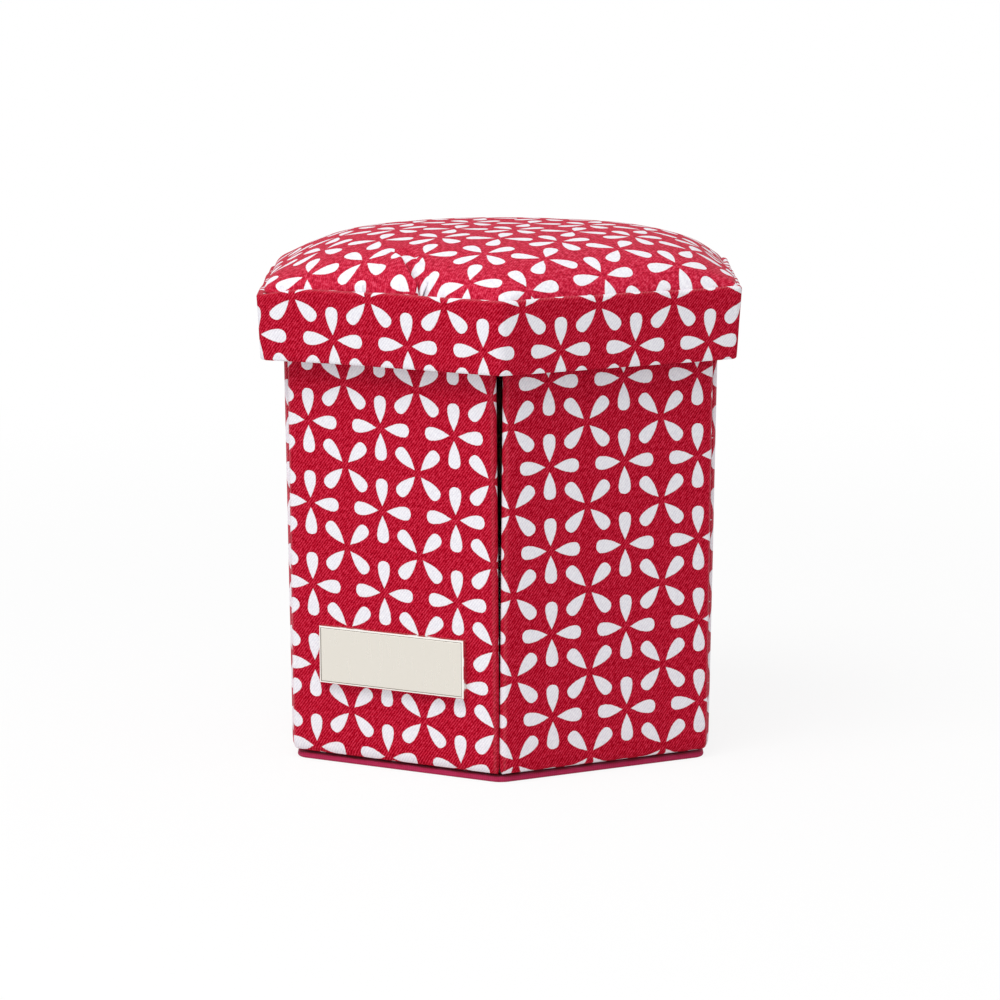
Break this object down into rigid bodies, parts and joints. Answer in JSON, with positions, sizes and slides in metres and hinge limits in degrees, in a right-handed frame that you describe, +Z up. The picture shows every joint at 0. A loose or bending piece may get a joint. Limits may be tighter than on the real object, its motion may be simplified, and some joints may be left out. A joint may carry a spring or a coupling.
{
  "type": "sewing kit",
  "caption": "Six-sided cloth-covered sewing box with fold-out walls, a padded lift-off lid, spools, scissors, tape, needles and a thimble.",
  "frame": {"origin": "middle of the sole's underside, on the surface that the box stands on", "axes": "+Z up; a corner of the box points along -Y, towards the viewer, with the plate on the wall to its left; +X and -X are square to the right and left walls"},
  "size_m": [0.109, 0.125, 0.1205],
  "materials": {
    "printed_cloth": "matt printed cotton twill, white florets on red",
    "fuchsia_cloth": "matt plain cotton",
    "bookboard": "matt grey-brown bookbinding board",
    "wadding": "soft white wadding",
    "nickel": "bright nickel plate with bevelled edges",
    "steel": "polished steel",
    "beech": "waxed beech",
    "reel_plastic": "smooth white moulding",
    "thread_white": "spun thread",
    "thread_black": "spun thread",
    "thread_navy": "spun thread",
    "pale_card": "smooth cream card",
    "tape_cloth": "coated yellow tape",
    "elastic": "woven white elastic"
  },
  "bodies": {
    "base": {"sole_board": "bookboard", "sole_cover": "fuchsia_cloth", "hinge_cloth": "printed_cloth", "base_board": "bookboard", "floor_lining": "fuchsia_cloth"},
    "lid": {"lid_rim_cover": "printed_cloth", "lid_rim_card": "bookboard", "lid_lining": "fuchsia_cloth", "cushion_board": "bookboard", "cushion_filling": "wadding", "cushion_cover": "printed_cloth"},
    "wall_front_left": {"wall_board_front_left": "bookboard", "wall_cover_front_left": "printed_cloth", "wall_lining_front_left": "fuchsia_cloth", "name_plate": "nickel"},
    "wall_front_right": {"wall_board_front_right": "bookboard", "wall_cover_front_right": "printed_cloth", "wall_lining_front_right": "fuchsia_cloth"},
    "wall_right": {"wall_board_right": "bookboard", "wall_cover_right": "printed_cloth", "wall_lining_right": "fuchsia_cloth", "tape_roll": "tape_cloth", "tape_tip": "steel", "tape_strap": "elastic"},
    "wall_back_right": {"wall_board_back_right": "bookboard", "wall_cover_back_right": "printed_cloth", "wall_lining_back_right": "fuchsia_cloth"},
    "wall_back_left": {"wall_board_back_left": "bookboard", "wall_cover_back_left": "printed_cloth", "wall_lining_back_left": "fuchsia_cloth", "needle_card": "pale_card", "needles": "steel", "needle_band": "elastic"},
    "wall_left": {"wall_board_left": "bookboard", "wall_cover_left": "printed_cloth", "wall_lining_left": "fuchsia_cloth", "scissors_half_a": "steel", "scissors_screw": "steel", "scissors_strap": "elastic"},
    "scissors_loose_half": {"scissors_half_b": "steel"},
    "rack": {"rack_board": "beech", "rack_pegs": "beech", "rack_handle": "beech"},
    "spool_white": {"reel_white": "reel_plastic", "thread_white": "thread_white"},
    "spool_black": {"reel_black": "reel_plastic", "thread_black": "thread_black"},
    "spool_navy": {"reel_navy": "reel_plastic", "thread_navy": "thread_navy"},
    "thimble": {"thimble": "steel"}
  },
  "joints": [
    {"name": "lid_lift", "type": "slide", "parent": "base", "child": "lid", "axis": [0, 0, 1], "range_m": [0, 0.3]},
    {"name": "fold_front_left", "type": "hinge", "parent": "base", "child": "wall_front_left", "pos_m": [-0.02345, -0.04062, 0.00165], "axis": [0.866, -0.5, 0], "range_deg": [0, 89.13]},
    {"name": "fold_front_right", "type": "hinge", "parent": "base", "child": "wall_front_right", "pos_m": [0.02345, -0.04062, 0.00165], "axis": [0.866, 0.5, 0], "range_deg": [0, 89.13]},
    {"name": "fold_right", "type": "hinge", "parent": "base", "child": "wall_right", "pos_m": [0.0469, 0, 0.00165], "axis": [0, 1, 0], "range_deg": [0, 89.13]},
    {"name": "fold_back_right", "type": "hinge", "parent": "base", "child": "wall_back_right", "pos_m": [0.02345, 0.04062, 0.00165], "axis": [-0.866, 0.5, 0], "range_deg": [0, 89.13]},
    {"name": "fold_back_left", "type": "hinge", "parent": "base", "child": "wall_back_left", "pos_m": [-0.02345, 0.04062, 0.00165], "axis": [-0.866, -0.5, 0], "range_deg": [0, 89.13]},
    {"name": "fold_left", "type": "hinge", "parent": "base", "child": "wall_left", "pos_m": [-0.0469, 0, 0.00165], "axis": [0, -1, 0], "range_deg": [0, 89.13]},
    {"name": "scissors_open", "type": "hinge", "parent": "wall_left", "child": "scissors_loose_half", "pos_m": [-0.04352, 0, 0.04936], "axis": [0.9999, 0, 0.0152], "range_deg": [0, 16]},
    {"name": "rack_lift", "type": "slide", "parent": "base", "child": "rack", "axis": [0, 0, 1], "range_m": [0, 0.012]},
    {"name": "spin_white", "type": "hinge", "parent": "rack", "child": "spool_white", "pos_m": [0, -0.022, 0.008], "axis": [0, 0, 1], "continuous": true},
    {"name": "spin_black", "type": "hinge", "parent": "rack", "child": "spool_black", "pos_m": [0.01905, 0.011, 0.008], "axis": [0, 0, 1], "continuous": true},
    {"name": "spin_navy", "type": "hinge", "parent": "rack", "child": "spool_navy", "pos_m": [-0.01905, 0.011, 0.008], "axis": [0, 0, 1], "continuous": true},
    {"name": "thimble_lift", "type": "slide", "parent": "rack", "child": "thimble", "axis": [0, 0, 1], "range_m": [0, 0.02]}
  ],
  "couplings": [
    {"joint": "fold_front_left", "follows": "lid_lift", "rad_per_m": 5.185},
    {"joint": "fold_front_right", "follows": "lid_lift", "rad_per_m": 5.185},
    {"joint": "fold_right", "follows": "lid_lift", "rad_per_m": 5.185},
    {"joint": "fold_back_right", "follows": "lid_lift", "rad_per_m": 5.185},
    {"joint": "fold_back_left", "follows": "lid_lift", "rad_per_m": 5.185},
    {"joint": "fold_left", "follows": "lid_lift", "rad_per_m": 5.185}
  ]
}
